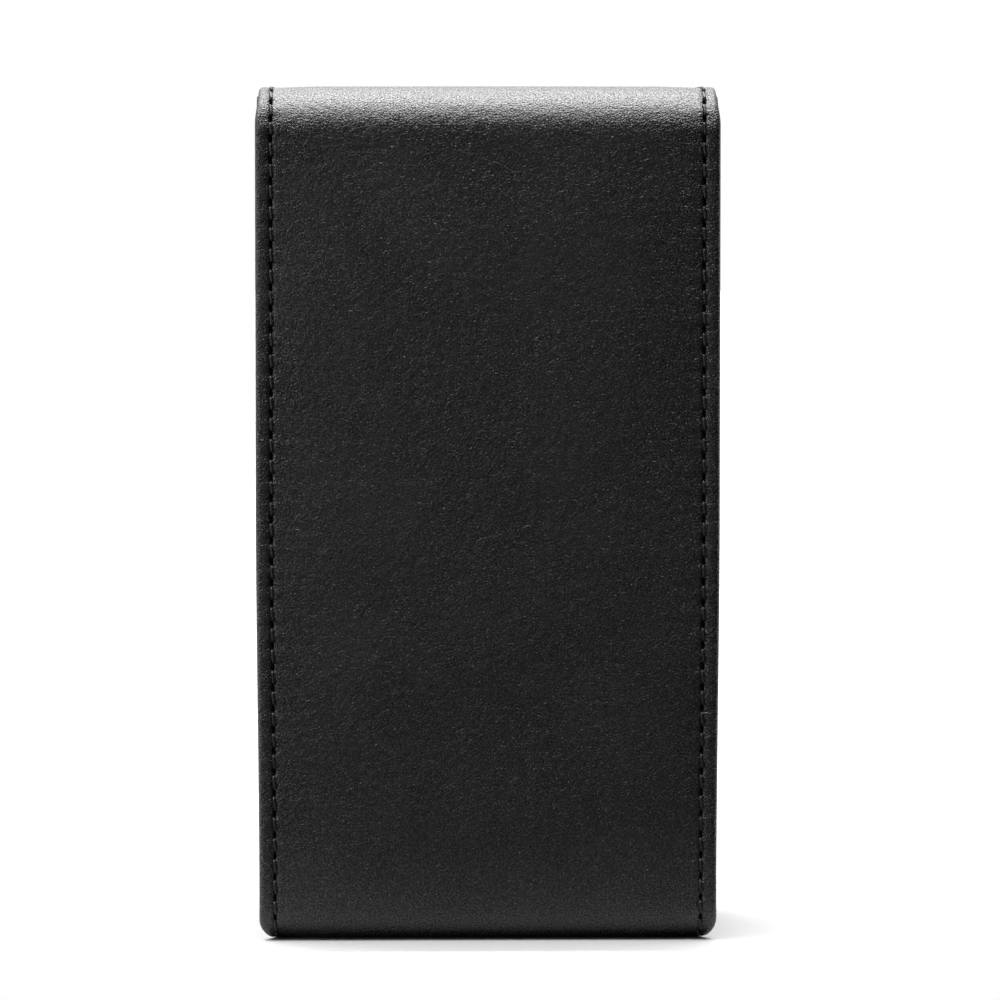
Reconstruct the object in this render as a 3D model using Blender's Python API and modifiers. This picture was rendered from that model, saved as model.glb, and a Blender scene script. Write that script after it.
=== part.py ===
"""Upright leather ever-ready case for a pocket camera or a folded pocket binocular.

One strip of leather makes the front panel, the bottom, the back panel, the lid and the flap. Two side
gussets are sewn to its edges. Pads and boards lie between the leather and the lining, and a press stud
holds the flap. The lid and the flap turn at the strip's two top folds, so the strip is cut there.

Frame: +Z up, the back panel faces -Y, the flap faces +Y, and the origin is on the floor under the middle
of the closed case's box.
"""

import math

import bmesh
import bpy
from mathutils import Matrix, Vector

MM = 0.001

# Driving dimensions
WIDTH = 70 * MM
HEIGHT = 129 * MM
POCKET_DEPTH = 42 * MM  # outside of the back panel to outside of the front panel
MOUTH_Z = 120.5 * MM  # top edge of the front panel and of the gussets
FLAP_END_Z = 58 * MM
FACING_Z = 108 * MM  # where the lining gives way to the leather facing inside the mouth
SNAP_Z = 74 * MM

# Thicknesses
LEATHER = 1.4 * MM
GUSSET = 1.2 * MM
PAD = 1.2 * MM
BASE_BOARD = 1.0 * MM
LINING = 0.6 * MM
FACING = 0.8 * MM
GAP = 0.3 * MM  # air between pieces that touch on the real case

# Bends of the strip, as radii of its outer face, and the corners of its outline
FOLD_RADIUS = 7 * MM
BASE_RADIUS = 5 * MM
FLAP_CORNER = 8 * MM
EDGE_DRAW = 1.6 * MM  # how far the seams pull the edges in under the case
EDGE_DRAW_HEIGHT = 3.5 * MM
ARC_STEP = 7.5  # degrees between the points of a bend
REAR_SPLIT = 135  # degrees round the rear fold, from +Y towards +Z, where the strip is cut
FRONT_SPLIT = 45
SPLIT_ANGLE = 2.0  # degrees that each side of a fold's cut gives up

# Seams
SEAM_INSET = 2.4 * MM
THREAD_RADIUS = 0.3 * MM
THREAD_DEPTH = 0.35 * MM  # middle of the thread below the leather's face
GROOVE_WIDTH = 1.4 * MM
GROOVE_DEPTH = 0.95 * MM
GROOVE_OVERLAP = 2.0  # degrees that a groove's cutter runs past a fold's cut
CUT_MARGIN = 1.0 * MM  # how far a cutter reaches outside what it cuts

# Gusset walls, as distances from the middle of the case
GUSSET_X = 31.4 * MM
GUSSET_LINING_X = 29.9 * MM
INNER_HALF_WIDTH = 29.0 * MM  # half width of the pads and of the strip's lining
FLANGE_MARGIN = 0.25 * MM
PAD_MARGIN = 1.5 * MM  # top of the pads below the mouth

# Press stud
STUD_CLEARANCE = 1.5 * MM  # flap lining to front panel
CAP_RISE = 1.1 * MM
CAP_RADIUS = 6.2 * MM
SOCKET_RADIUS = 5.5 * MM
WASHER_RADIUS = 7.0 * MM
SNAP_TUBE = 1.5 * MM
SNAP_HOLE = 1.9 * MM
SNAP_CLEARANCE = 0.4 * MM
SNAP_STEPS = 24

# Layers, as depths below the strip's outer face
PAD_DEPTH = LEATHER + GAP
LINING_DEPTH = PAD_DEPTH + PAD + GAP
WALL = LINING_DEPTH + LINING

# Places that follow from the sizes above
TOTAL_DEPTH = POCKET_DEPTH + STUD_CLEARANCE + WALL + CAP_RISE
BACK_Y = -TOTAL_DEPTH / 2
FRONT_Y = BACK_Y + POCKET_DEPTH
FLAP_Y = FRONT_Y + STUD_CLEARANCE + WALL
SHOULDER_Z = HEIGHT - FOLD_RADIUS
SEAM_X = WIDTH / 2 - SEAM_INSET
HEM_Z = MOUTH_Z - SEAM_INSET
REAR_FOLD = (BACK_Y + FOLD_RADIUS, SHOULDER_Z)
FRONT_FOLD = (FLAP_Y - FOLD_RADIUS, SHOULDER_Z)
HINGE_OUT = 0.2 * MM  # from the leather's face out to a fold's turning line

PARTS = "ever_ready_case"
CUTTERS = "cutters"

# Colour, roughness and metallic value
LOOKS = {
    "leather": ((0.018, 0.018, 0.018), 0.45, 0.0),
    "lining": ((0.03, 0.03, 0.032), 0.95, 0.0),
    "foam": ((0.12, 0.12, 0.12), 0.9, 0.0),
    "board": ((0.25, 0.2, 0.15), 0.85, 0.0),
    "thread": ((0.01, 0.01, 0.01), 0.6, 0.0),
    "metal": ((0.35, 0.35, 0.36), 0.3, 1.0),
}


# ---------------------------------------------------------------- scene and materials


def clear_scene():
    for obj in list(bpy.data.objects):
        bpy.data.objects.remove(obj)
    for name in (PARTS, CUTTERS):
        bpy.context.scene.collection.children.link(bpy.data.collections.new(name))


def make_material(name, look):
    colour, roughness, metallic = LOOKS[look]
    material = bpy.data.materials.new(name)
    material.use_nodes = True
    shader = material.node_tree.nodes["Principled BSDF"]
    shader.inputs["Base Color"].default_value = (*colour, 1.0)
    shader.inputs["Roughness"].default_value = roughness
    shader.inputs["Metallic"].default_value = metallic
    return material


def add_object(name, data, look=None):
    """A new object from a mesh or curve. Without a look it is a cutter."""
    obj = bpy.data.objects.new(name, data)
    if look is None:
        bpy.data.collections[CUTTERS].objects.link(obj)
        obj.hide_render = True
        obj.display_type = "WIRE"
    else:
        bpy.data.collections[PARTS].objects.link(obj)
        data.materials.append(make_material(name, look))
    return obj


def mesh_object(name, bm, look=None):
    mesh = bpy.data.meshes.new(name)
    bm.to_mesh(mesh)
    bm.free()
    return add_object(name, mesh, look)


def add_joint(name, place, children):
    """An empty on a fold's turning line, which its moving pieces hang from."""
    empty = bpy.data.objects.new(name, None)
    bpy.data.collections[PARTS].objects.link(empty)
    empty.location = (0, *place)
    for child in children:
        child.parent = empty
        child.matrix_parent_inverse = Matrix.Translation(-empty.location)
    return empty


def solidify(obj, thickness, offset=-1):
    """Gives an open surface its thickness. At -1 all of it lies behind the faces."""
    modifier = obj.modifiers.new("thickness", "SOLIDIFY")
    modifier.thickness = thickness
    modifier.offset = offset
    modifier.use_even_offset = True


def cut(obj, *cutters):
    for cutter in cutters:
        modifier = obj.modifiers.new(cutter.name, "BOOLEAN")
        modifier.operation = "DIFFERENCE"
        modifier.object = cutter


# ---------------------------------------------------------------- lines in the YZ plane


def arc(centre, radius, start, end):
    """Points of a bend in the YZ plane. Angles are in degrees, from +Y towards +Z."""
    steps = max(1, round(abs(end - start) / ARC_STEP))
    angles = [math.radians(start + (end - start) * i / steps) for i in range(steps + 1)]
    return [(centre[0] + radius * math.cos(a), centre[1] + radius * math.sin(a)) for a in angles]


def pocket_path(depth, front_top, back_top, fold_end=None):
    """The strip from the front's top edge, under the case and up the back, at a depth below its face."""
    radius = BASE_RADIUS - depth
    path = [(FRONT_Y - depth, front_top)]
    path += arc((FRONT_Y - BASE_RADIUS, BASE_RADIUS), radius, 0, -90)
    path += arc((BACK_Y + BASE_RADIUS, BASE_RADIUS), radius, -90, -180)
    if fold_end is None:
        return path + [(BACK_Y + depth, back_top)]
    return path + arc(REAR_FOLD, FOLD_RADIUS - depth, 180, fold_end)


def lid_path(depth, overlap=0.0):
    """The strip between the cuts in its two top folds. A positive overlap runs past the cuts."""
    radius = FOLD_RADIUS - depth
    start = REAR_SPLIT - SPLIT_ANGLE + overlap
    end = FRONT_SPLIT + SPLIT_ANGLE - overlap
    return arc(REAR_FOLD, radius, start, 90) + arc(FRONT_FOLD, radius, 90, end)


def flap_path(depth, end_points, overlap=0.0):
    """The strip from the cut in the front fold down the flap, which ends in end_points heights."""
    fold = arc(FRONT_FOLD, FOLD_RADIUS - depth, FRONT_SPLIT - SPLIT_ANGLE + overlap, 0)
    return fold + [(FLAP_Y - depth, z) for z in end_points]


def hinge_place(fold, angle):
    """A fold's turning line, at this angle round the bend."""
    reach = FOLD_RADIUS + HINGE_OUT
    return (fold[0] + reach * math.cos(math.radians(angle)), fold[1] + reach * math.sin(math.radians(angle)))


def clamp(value, low, high):
    return max(low, min(high, value))


def quarter_sag(radius, height):
    """How far a round corner of this radius has come in, at a height below its start."""
    return radius - math.sqrt(max(0.0, radius**2 - clamp(height, 0, radius) ** 2))


def body_half_width(z):
    """The strip is a little narrower where it turns under the case."""
    drop = clamp(EDGE_DRAW_HEIGHT - z, 0, EDGE_DRAW_HEIGHT) / EDGE_DRAW_HEIGHT
    return WIDTH / 2 - EDGE_DRAW * quarter_sag(1.0, drop)


def flap_half_width(z, inset=0.0):
    """The flap has two round corners. The inset is measured from its edge."""
    radius = FLAP_CORNER - inset
    return WIDTH / 2 - inset - quarter_sag(radius, FLAP_END_Z + FLAP_CORNER - z)


def corner_heights(inset=0.0, steps=6):
    """Heights of the flap's last stretch, close together along its round corners."""
    radius = FLAP_CORNER - inset
    top = FLAP_END_Z + FLAP_CORNER
    return [top - radius * math.sin(math.radians(90 * i / steps)) for i in range(steps + 1)]


# ---------------------------------------------------------------- solids


def strip_surface(path, half_width):
    """An open surface across the case along a path in the YZ plane, with its face on the path's left."""
    bm = bmesh.new()
    left = [bm.verts.new((-half_width(z), y, z)) for y, z in path]
    right = [bm.verts.new((half_width(z), y, z)) for y, z in path]
    for i in range(len(path) - 1):
        bm.faces.new((left[i], right[i], right[i + 1], left[i + 1]))
    return bm


def sheet(name, path, half_width, thickness, look):
    """A layer of the strip: its outer face follows the path, and it is thick towards the inside."""
    obj = mesh_object(name, strip_surface(path, half_width), look)
    solidify(obj, thickness)
    return obj


def block(name, low, high, look=None):
    """A box between two corners."""
    low, high = Vector(low), Vector(high)
    bm = bmesh.new()
    matrix = Matrix.Translation((low + high) / 2) @ Matrix.Diagonal((*(high - low), 1))
    bmesh.ops.create_cube(bm, size=1, matrix=matrix)
    return mesh_object(name, bm, look)


def disc_cutter(name, radius, y_low, y_high):
    """A round hole through the snap's place, along Y."""
    bm = bmesh.new()
    bmesh.ops.create_cone(
        bm, segments=SNAP_STEPS, radius1=radius, radius2=radius, depth=y_high - y_low, cap_ends=True
    )
    turn = Matrix.Rotation(math.radians(90), 4, "X")
    place = Matrix.Translation((0, (y_low + y_high) / 2, SNAP_Z))
    bmesh.ops.transform(bm, matrix=place @ turn, verts=bm.verts)
    return mesh_object(name, bm)


def turned(name, profile, y, look):
    """A round piece of the press stud. The profile is (radius, distance out from y), top side first."""
    bm = bmesh.new()
    verts = [bm.verts.new((radius, 0, out)) for radius, out in profile]
    pairs = list(zip(verts, verts[1:]))
    if profile[0][0] > 0:
        pairs.append((verts[-1], verts[0]))
    for pair in pairs:
        bm.edges.new(pair)
    obj = mesh_object(name, bm, look)
    screw = obj.modifiers.new("turn", "SCREW")
    screw.steps = SNAP_STEPS
    screw.render_steps = SNAP_STEPS
    screw.use_merge_vertices = True
    screw.merge_threshold = 0.00001
    screw.use_smooth_shade = True
    obj.location = (0, y, SNAP_Z)
    obj.rotation_euler = (math.radians(-90), 0, 0)
    return obj


def wall_corners(bm, x, depth):
    """Corners of a gusset wall, in the order of the pocket's path."""
    return [bm.verts.new((x, y, z)) for y, z in pocket_path(depth, MOUTH_Z, MOUTH_Z)]


def make_gusset(name, side):
    """A side wall with a flange that turns outwards along the front, the bottom and the back."""
    depth = PAD_DEPTH + GUSSET
    bm = bmesh.new()
    wall = wall_corners(bm, side * GUSSET_X, depth)
    rim = wall_corners(bm, 0, depth)
    for vert in rim:
        vert.co.x = side * (body_half_width(vert.co.z - depth) - FLANGE_MARGIN)
    bm.faces.new(wall[::-1])
    for i in range(len(wall) - 1):
        bm.faces.new((wall[i], wall[i + 1], rim[i + 1], rim[i]))
    if side < 0:
        bmesh.ops.reverse_faces(bm, faces=bm.faces)
    obj = mesh_object(name, bm, "leather")
    solidify(obj, GUSSET)
    return obj


def make_gusset_lining(name, side):
    bm = bmesh.new()
    bm.faces.new(wall_corners(bm, side * GUSSET_LINING_X, PAD_DEPTH)[::-1])
    if side < 0:
        bmesh.ops.reverse_faces(bm, faces=bm.faces)
    solidify(mesh_object(name, bm, "lining"), LINING)


# ---------------------------------------------------------------- seams


def line_at(x, path):
    return [(x, y, z) for y, z in path]


def sew(name, line):
    """A seam's thread along a line of points."""
    curve = bpy.data.curves.new(name, "CURVE")
    curve.dimensions = "3D"
    curve.bevel_depth = THREAD_RADIUS
    curve.bevel_resolution = 2
    curve.use_fill_caps = True
    spline = curve.splines.new("POLY")
    spline.points.add(len(line) - 1)
    for point, place in zip(spline.points, line):
        point.co = (*place, 1)
    return add_object(name, curve, "thread")


def seam_groove(name, x, path_at):
    """A cutter for the shallow groove that a seam is sewn in, along the strip at this x."""
    surface = strip_surface(path_at(-CUT_MARGIN), lambda z: GROOVE_WIDTH / 2)
    bmesh.ops.translate(surface, verts=surface.verts, vec=(x, 0, 0))
    obj = mesh_object(name, surface)
    solidify(obj, CUT_MARGIN + GROOVE_DEPTH)
    return obj


def flap_seam_line():
    """The flap's seam on its flat part: down one side, round both corners and up the other side."""
    radius = FLAP_CORNER - SEAM_INSET
    centre_x = WIDTH / 2 - FLAP_CORNER
    centre_z = FLAP_END_Z + FLAP_CORNER
    steps = round(90 / ARC_STEP)
    corner = [math.radians(90 * i / steps) for i in range(steps + 1)]
    left = [(-centre_x - radius * math.cos(a), centre_z - radius * math.sin(a)) for a in corner]
    right = [(-x, z) for x, z in reversed(left)]
    return [*left, *right]


def flap_groove():
    """A thin wall along the flap's seam, which cuts its groove."""
    bm = bmesh.new()
    line = [(-SEAM_X, SHOULDER_Z), *flap_seam_line(), (SEAM_X, SHOULDER_Z)]
    verts = [bm.verts.new((x, FLAP_Y - GROOVE_DEPTH, z)) for x, z in line]
    edges = [bm.edges.new(pair) for pair in zip(verts, verts[1:])]
    for item in bmesh.ops.extrude_edge_only(bm, edges=edges)["geom"]:
        if isinstance(item, bmesh.types.BMVert):
            item.co.y = FLAP_Y + CUT_MARGIN
    bmesh.ops.recalc_face_normals(bm, faces=bm.faces)
    obj = mesh_object("flap_groove", bm)
    solidify(obj, GROOVE_WIDTH, offset=0)
    return obj


# ---------------------------------------------------------------- the pocket


def mirrored_box(low, high, side):
    """The corners of a box, mirrored to the -X side where side is -1."""
    if side > 0:
        return low, high
    return (-high[0], low[1], low[2]), (-low[0], high[1], high[2])


def make_side(name, side, wrap, fold_end):
    """A gusset with its lining, its hem, and the seam that holds it to the strip."""
    seam_x = side * SEAM_X
    groove_top = MOUTH_Z + CUT_MARGIN
    groove_end = fold_end - GROOVE_OVERLAP
    groove = seam_groove(
        f"{name}_pocket_groove",
        seam_x,
        lambda depth: pocket_path(depth, groove_top, SHOULDER_Z, groove_end),
    )
    cut(wrap, groove)
    seam = pocket_path(THREAD_DEPTH, MOUTH_Z - SEAM_INSET / 2, SHOULDER_Z, fold_end)
    sew(f"{name}_pocket_seam", line_at(seam_x, seam))

    gusset = make_gusset(f"{name}_gusset", side)
    make_gusset_lining(f"{name}_gusset_lining", side)
    back, front = BACK_Y + LINING_DEPTH, FRONT_Y - LINING_DEPTH
    low, high = mirrored_box(
        (GUSSET_X - GROOVE_DEPTH, back, HEM_Z - GROOVE_WIDTH / 2),
        (GUSSET_X + GROOVE_DEPTH, front, HEM_Z + GROOVE_WIDTH / 2),
        side,
    )
    cut(gusset, block(f"{name}_hem_groove", low, high))
    hem_x = side * (GUSSET_X - THREAD_DEPTH)
    sew(f"{name}_gusset_hem", [(hem_x, y, HEM_Z) for y in (back + GAP, front - GAP)])


def make_pocket():
    """The pocket: everything below the rear fold."""
    fold_end = REAR_SPLIT + SPLIT_ANGLE
    path = pocket_path(0, MOUTH_Z, SHOULDER_Z, fold_end)
    wrap = sheet("outer_wrap", path, body_half_width, LEATHER, "leather")
    make_side("left", -1, wrap, fold_end)
    make_side("right", 1, wrap, fold_end)

    hem_end = SEAM_X - GROOVE_WIDTH / 2 - GAP
    groove = block(
        "mouth_groove",
        (-hem_end, FRONT_Y - GROOVE_DEPTH, HEM_Z - GROOVE_WIDTH / 2),
        (hem_end, FRONT_Y + CUT_MARGIN, HEM_Z + GROOVE_WIDTH / 2),
    )
    cut(wrap, groove)
    thread_end = hem_end - GAP
    sew("mouth_hem", [(x, FRONT_Y - THREAD_DEPTH, HEM_Z) for x in (-thread_end, thread_end)])

    x = INNER_HALF_WIDTH
    for name, y in (("back_pad", BACK_Y + PAD_DEPTH), ("front_pad", FRONT_Y - PAD_DEPTH - PAD)):
        block(name, (-x, y, BASE_RADIUS), (x, y + PAD, MOUTH_Z - PAD_MARGIN), "foam")
    block(
        "bottom_board",
        (-x, BACK_Y + BASE_RADIUS, PAD_DEPTH),
        (x, FRONT_Y - BASE_RADIUS, PAD_DEPTH + BASE_BOARD),
        "board",
    )
    path = pocket_path(LINING_DEPTH, FACING_Z - GAP, SHOULDER_Z, fold_end)
    sheet("pocket_lining", path, lambda z: x, LINING, "lining")
    facing_y = FRONT_Y - LINING_DEPTH
    block("mouth_facing", (-x, facing_y - FACING, FACING_Z), (x, facing_y, MOUTH_Z), "leather")


# ---------------------------------------------------------------- lid and flap


def make_lid():
    """The lid: the strip between the cuts in its two top folds."""
    x = INNER_HALF_WIDTH
    board_top = HEIGHT - PAD_DEPTH
    leather = sheet("lid_leather", lid_path(0), lambda z: WIDTH / 2, LEATHER, "leather")
    seams = []
    for name, seam_x in (("left", -SEAM_X), ("right", SEAM_X)):
        groove = seam_groove(
            f"{name}_lid_groove", seam_x, lambda depth: lid_path(depth, GROOVE_OVERLAP)
        )
        cut(leather, groove)
        seams.append(sew(f"{name}_lid_seam", line_at(seam_x, lid_path(THREAD_DEPTH))))
    board = block(
        "lid_board", (-x, REAR_FOLD[0], board_top - PAD), (x, FRONT_FOLD[0], board_top), "board"
    )
    lining_x = WIDTH / 2 - FLANGE_MARGIN
    lining = sheet("lid_lining", lid_path(LINING_DEPTH), lambda z: lining_x, LINING, "lining")
    return [leather, *seams, board, lining]


def make_flap():
    """The flap: the strip from its front fold down to its rounded end."""
    path = flap_path(0, corner_heights())
    leather = sheet("flap_leather", path, flap_half_width, LEATHER, "leather")
    for name, seam_x in (("left", -SEAM_X), ("right", SEAM_X)):
        groove = seam_groove(
            f"{name}_flap_groove",
            seam_x,
            lambda depth: flap_path(depth, [SHOULDER_Z - CUT_MARGIN], GROOVE_OVERLAP),
        )
        cut(leather, groove)
    cut(leather, flap_groove())

    fold = line_at(-SEAM_X, flap_path(THREAD_DEPTH, []))
    flat = [(x, FLAP_Y - THREAD_DEPTH, z) for x, z in flap_seam_line()]
    other_fold = [(-x, y, z) for x, y, z in reversed(fold)]
    seam = sew("flap_seam", fold + flat + other_fold)

    x, board_y = INNER_HALF_WIDTH, FLAP_Y - PAD_DEPTH
    board_low = (-x, board_y - PAD, FLAP_END_Z + 2 * SEAM_INSET)
    board = block("flap_board", board_low, (x, board_y, SHOULDER_Z), "board")
    lining = sheet(
        "flap_lining",
        flap_path(LINING_DEPTH, corner_heights(FLANGE_MARGIN)),
        lambda z: flap_half_width(z, FLANGE_MARGIN),
        LINING,
        "lining",
    )
    return [leather, seam, board, lining]


# ---------------------------------------------------------------- press stud


def cut_snap_holes():
    """Holes for the press stud, through the layers of the flap and of the front panel."""
    socket_radius = SOCKET_RADIUS + SNAP_CLEARANCE
    washer_radius = WASHER_RADIUS + SNAP_CLEARANCE
    flap_tube = disc_cutter("flap_tube_hole", SNAP_HOLE, FLAP_Y - 2 * LEATHER, FLAP_Y + CUT_MARGIN)
    socket = disc_cutter("socket_hole", socket_radius, FLAP_Y - WALL - CUT_MARGIN, FLAP_Y - LEATHER)
    front_tube = disc_cutter("front_tube_hole", SNAP_HOLE, FRONT_Y - 2 * LEATHER, FRONT_Y + CUT_MARGIN)
    washer = disc_cutter("washer_hole", washer_radius, FRONT_Y - WALL, FRONT_Y)
    for name, cutter in (
        ("flap_leather", flap_tube),
        ("flap_board", socket),
        ("flap_lining", socket),
        ("outer_wrap", front_tube),
        ("front_pad", washer),
    ):
        cut(bpy.data.objects[name], cutter)


def make_flap_snap():
    """The cap outside the flap, whose tube holds the socket inside it."""
    dome = CAP_RISE - GAP
    rim = 0.25 * MM
    rings = 4
    cap = [(0.0, dome)]
    for i in range(1, rings + 1):
        share = i / rings
        cap.append((CAP_RADIUS * share, rim + (dome - rim) * (1 - share**3)))
    tube_end = -(LEATHER + 3 * GAP)
    cap += [(CAP_RADIUS, 0), (SNAP_TUBE, 0), (SNAP_TUBE, tube_end), (0, tube_end)]

    top = WALL - LEATHER - GAP
    cavity, cavity_top = 2.6 * MM, 1.3 * MM
    foot, bevel = 0.1 * MM, 0.4 * MM
    socket = [
        (SNAP_HOLE, top),
        (SOCKET_RADIUS, top),
        (SOCKET_RADIUS, foot + bevel),
        (SOCKET_RADIUS - bevel, foot),
        (cavity, foot),
        (cavity, cavity_top),
        (SNAP_HOLE, cavity_top),
    ]
    return [
        turned("snap_cap", cap, FLAP_Y + GAP, "metal"),
        turned("snap_socket", socket, FLAP_Y - WALL, "metal"),
    ]


def make_front_snap():
    """The stud outside the front panel, with its post and a fibre washer inside it."""
    neck, head = 1.9 * MM, 2.2 * MM
    flange, flange_radius = 0.4 * MM, 5.0 * MM
    stud = [
        (0.0, 2.2 * MM),
        (neck, 2.2 * MM),
        (head, 1.9 * MM),
        (head, 1.6 * MM),
        (neck, 1.2 * MM),
        (neck, 0.6 * MM),
        (flange_radius, flange),
        (flange_radius, 0.0),
        (0.0, 0.0),
    ]
    turned("snap_stud", stud, FRONT_Y + GAP, "metal")

    washer_y = FRONT_Y - PAD_DEPTH - flange
    washer = [(SNAP_HOLE, flange), (WASHER_RADIUS, flange), (WASHER_RADIUS, 0.0), (SNAP_HOLE, 0.0)]
    turned("snap_washer", washer, washer_y, "board")

    base = washer_y - GAP - flange
    top = FRONT_Y - base
    post_radius = 4.5 * MM
    post = [
        (0.0, top),
        (SNAP_TUBE, top),
        (SNAP_TUBE, flange),
        (post_radius, flange),
        (post_radius, 0.0),
        (0.0, 0.0),
    ]
    turned("snap_post", post, base, "metal")


def main():
    clear_scene()
    make_pocket()
    lid = make_lid()
    flap = make_flap()
    cut_snap_holes()
    make_front_snap()
    flap += make_flap_snap()
    bpy.context.view_layer.update()
    flap_fold = add_joint("flap_fold", hinge_place(FRONT_FOLD, FRONT_SPLIT), flap)
    add_joint("lid_fold", hinge_place(REAR_FOLD, REAR_SPLIT), [*lid, flap_fold])


main()
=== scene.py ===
"""Fine surfaces, stitches, materials, light and camera for the leather ever-ready case."""

import math

import bpy
import numpy as np
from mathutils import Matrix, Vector


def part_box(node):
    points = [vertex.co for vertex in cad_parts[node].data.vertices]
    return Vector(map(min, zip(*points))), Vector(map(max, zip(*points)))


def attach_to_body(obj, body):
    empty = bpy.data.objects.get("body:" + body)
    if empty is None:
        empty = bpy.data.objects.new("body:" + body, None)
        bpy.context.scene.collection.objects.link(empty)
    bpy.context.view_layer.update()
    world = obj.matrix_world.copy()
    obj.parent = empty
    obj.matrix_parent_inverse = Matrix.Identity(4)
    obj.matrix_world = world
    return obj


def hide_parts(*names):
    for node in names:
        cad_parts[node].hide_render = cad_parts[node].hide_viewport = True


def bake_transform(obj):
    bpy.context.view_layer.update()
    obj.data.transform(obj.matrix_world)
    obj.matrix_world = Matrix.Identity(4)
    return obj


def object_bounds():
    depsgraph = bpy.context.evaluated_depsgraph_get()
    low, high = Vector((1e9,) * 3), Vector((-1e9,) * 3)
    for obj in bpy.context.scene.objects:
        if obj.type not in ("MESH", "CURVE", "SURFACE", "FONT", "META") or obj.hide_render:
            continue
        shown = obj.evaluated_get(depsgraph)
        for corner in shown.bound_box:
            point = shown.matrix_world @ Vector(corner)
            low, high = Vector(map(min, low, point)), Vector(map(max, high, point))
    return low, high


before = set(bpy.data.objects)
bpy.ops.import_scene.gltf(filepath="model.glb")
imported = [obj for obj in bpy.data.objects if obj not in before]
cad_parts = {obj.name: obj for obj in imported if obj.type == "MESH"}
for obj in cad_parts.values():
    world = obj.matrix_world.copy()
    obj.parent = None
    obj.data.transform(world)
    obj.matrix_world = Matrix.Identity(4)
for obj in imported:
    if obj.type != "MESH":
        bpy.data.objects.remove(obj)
CAD_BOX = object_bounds()

MM = 0.001

# Places taken from the CAD
LOW, HIGH = CAD_BOX
WIDTH = HIGH.x - LOW.x
HEIGHT = HIGH.z
BACK_Y = LOW.y
FRONT_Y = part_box("outer_wrap")[1].y
FLAP_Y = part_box("flap_leather")[1].y
FLAP_END_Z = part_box("flap_leather")[0].z
MOUTH_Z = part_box("mouth_facing")[1].z
SNAP_Z = (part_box("snap_cap")[0].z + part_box("snap_cap")[1].z) / 2

# Bends and corners of the strip
FOLD_RADIUS = 7 * MM
BASE_RADIUS = 5 * MM
FLAP_CORNER = 8 * MM
MOUTH_CORNER = 5 * MM

# Layers
LEATHER = 1.4 * MM
LINING = 0.55 * MM
LINING_DEPTH = 3.2 * MM  # below the strip's face, where a pad or a board lies between
SEWN_DEPTH = 1.5 * MM  # where the lining is sewn straight to the leather

# Seams
INSET = 2.4 * MM
PITCH = 3.2 * MM
THREAD = 0.23 * MM
STITCH = 0.74  # share of the pitch that the thread shows for
SLANT = 0.3 * MM  # how far a stitch runs across the seam from hole to hole

STEP = 0.28 * MM  # rows of the fine mesh along a seam
STRIDE = 4  # fine rows to one row of the panel's middle
COLUMNS = 12  # cells across a panel's middle


def smooth(t):
    t = np.clip(t, 0.0, 1.0)
    return t * t * (3 - 2 * t)


def bell(distance, width):
    return np.exp(-((distance / width) ** 2))


# ---------------------------------------------------------------- the strip's line


class Line:
    """A line in the YZ plane made of straight runs and bends to the right, measured along its length."""

    def __init__(self, start, heading):
        self.starts, self.runs = [0.0], []
        self.point, self.heading = np.array(start, float), math.radians(heading)

    def run(self, length, radius=None):
        """Adds a straight run, or a bend of this radius, and gives the length so far."""
        self.runs.append((self.point, self.heading, radius))
        if radius is None:
            travel = np.array((math.cos(self.heading), math.sin(self.heading)))
            self.point = self.point + length * travel
        else:
            centre = self.point - radius * self.normal(self.heading)
            self.heading -= length / radius
            self.point = centre + radius * self.normal(self.heading)
        self.starts.append(self.starts[-1] + length)
        return self.starts[-1]

    @staticmethod
    def normal(heading):
        return np.array((-math.sin(heading), math.cos(heading)))

    def at(self, s):
        """Points and outward normals at these lengths, as y, z, normal y and normal z."""
        s = np.asarray(s, float)
        which = np.clip(np.searchsorted(self.starts, s, side="right") - 1, 0, len(self.runs) - 1)
        out = np.zeros((4, *s.shape))
        for i, (point, heading, radius) in enumerate(self.runs):
            here = which == i
            along = s[here] - self.starts[i]
            if radius is None:
                angle = np.full(along.shape, heading)
                y = point[0] + along * math.cos(heading)
                z = point[1] + along * math.sin(heading)
            else:
                angle = heading - along / radius
                centre = point - radius * self.normal(heading)
                y = centre[0] - radius * np.sin(angle)
                z = centre[1] + radius * np.cos(angle)
            out[:, here] = y, z, -np.sin(angle), np.cos(angle)
        return out


STRIP = Line((FRONT_Y, MOUTH_Z), -90)
STRIP.run(MOUTH_Z - BASE_RADIUS)
S_BEND = STRIP.starts[-1]
STRIP.run(BASE_RADIUS * math.pi / 2, BASE_RADIUS)
BASE_RUN = FRONT_Y - BACK_Y - 2 * BASE_RADIUS
S_BASE = STRIP.starts[-1] + BASE_RUN / 2  # middle of the bottom
STRIP.run(BASE_RUN)
S_BACK = STRIP.run(BASE_RADIUS * math.pi / 2, BASE_RADIUS)
S_REAR = STRIP.run(HEIGHT - FOLD_RADIUS - BASE_RADIUS)
S_TOP = STRIP.run(FOLD_RADIUS * math.pi / 2, FOLD_RADIUS)
LID_RUN = FLAP_Y - BACK_Y - 2 * FOLD_RADIUS
S_LID = S_TOP + LID_RUN / 2  # middle of the lid
S_FRONT = STRIP.run(LID_RUN)
S_FLAP = STRIP.run(FOLD_RADIUS * math.pi / 2, FOLD_RADIUS)
S_END = STRIP.run(HEIGHT - FOLD_RADIUS - FLAP_END_Z)


def place(x, s, depth):
    """Points of the strip, at a depth below its face."""
    y, z, normal_y, normal_z = STRIP.at(s)
    x = np.broadcast_to(x, y.shape)
    return np.stack([x, y - normal_y * depth, z - normal_z * depth], axis=-1)


def drawn(s):
    """How far the strip has turned under the case, from 0 to 1."""
    drop = np.clip((2.8 * MM - STRIP.at(s)[1]) / (2.8 * MM), 0, 1)
    return 1 - np.sqrt(1 - drop**2)


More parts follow.
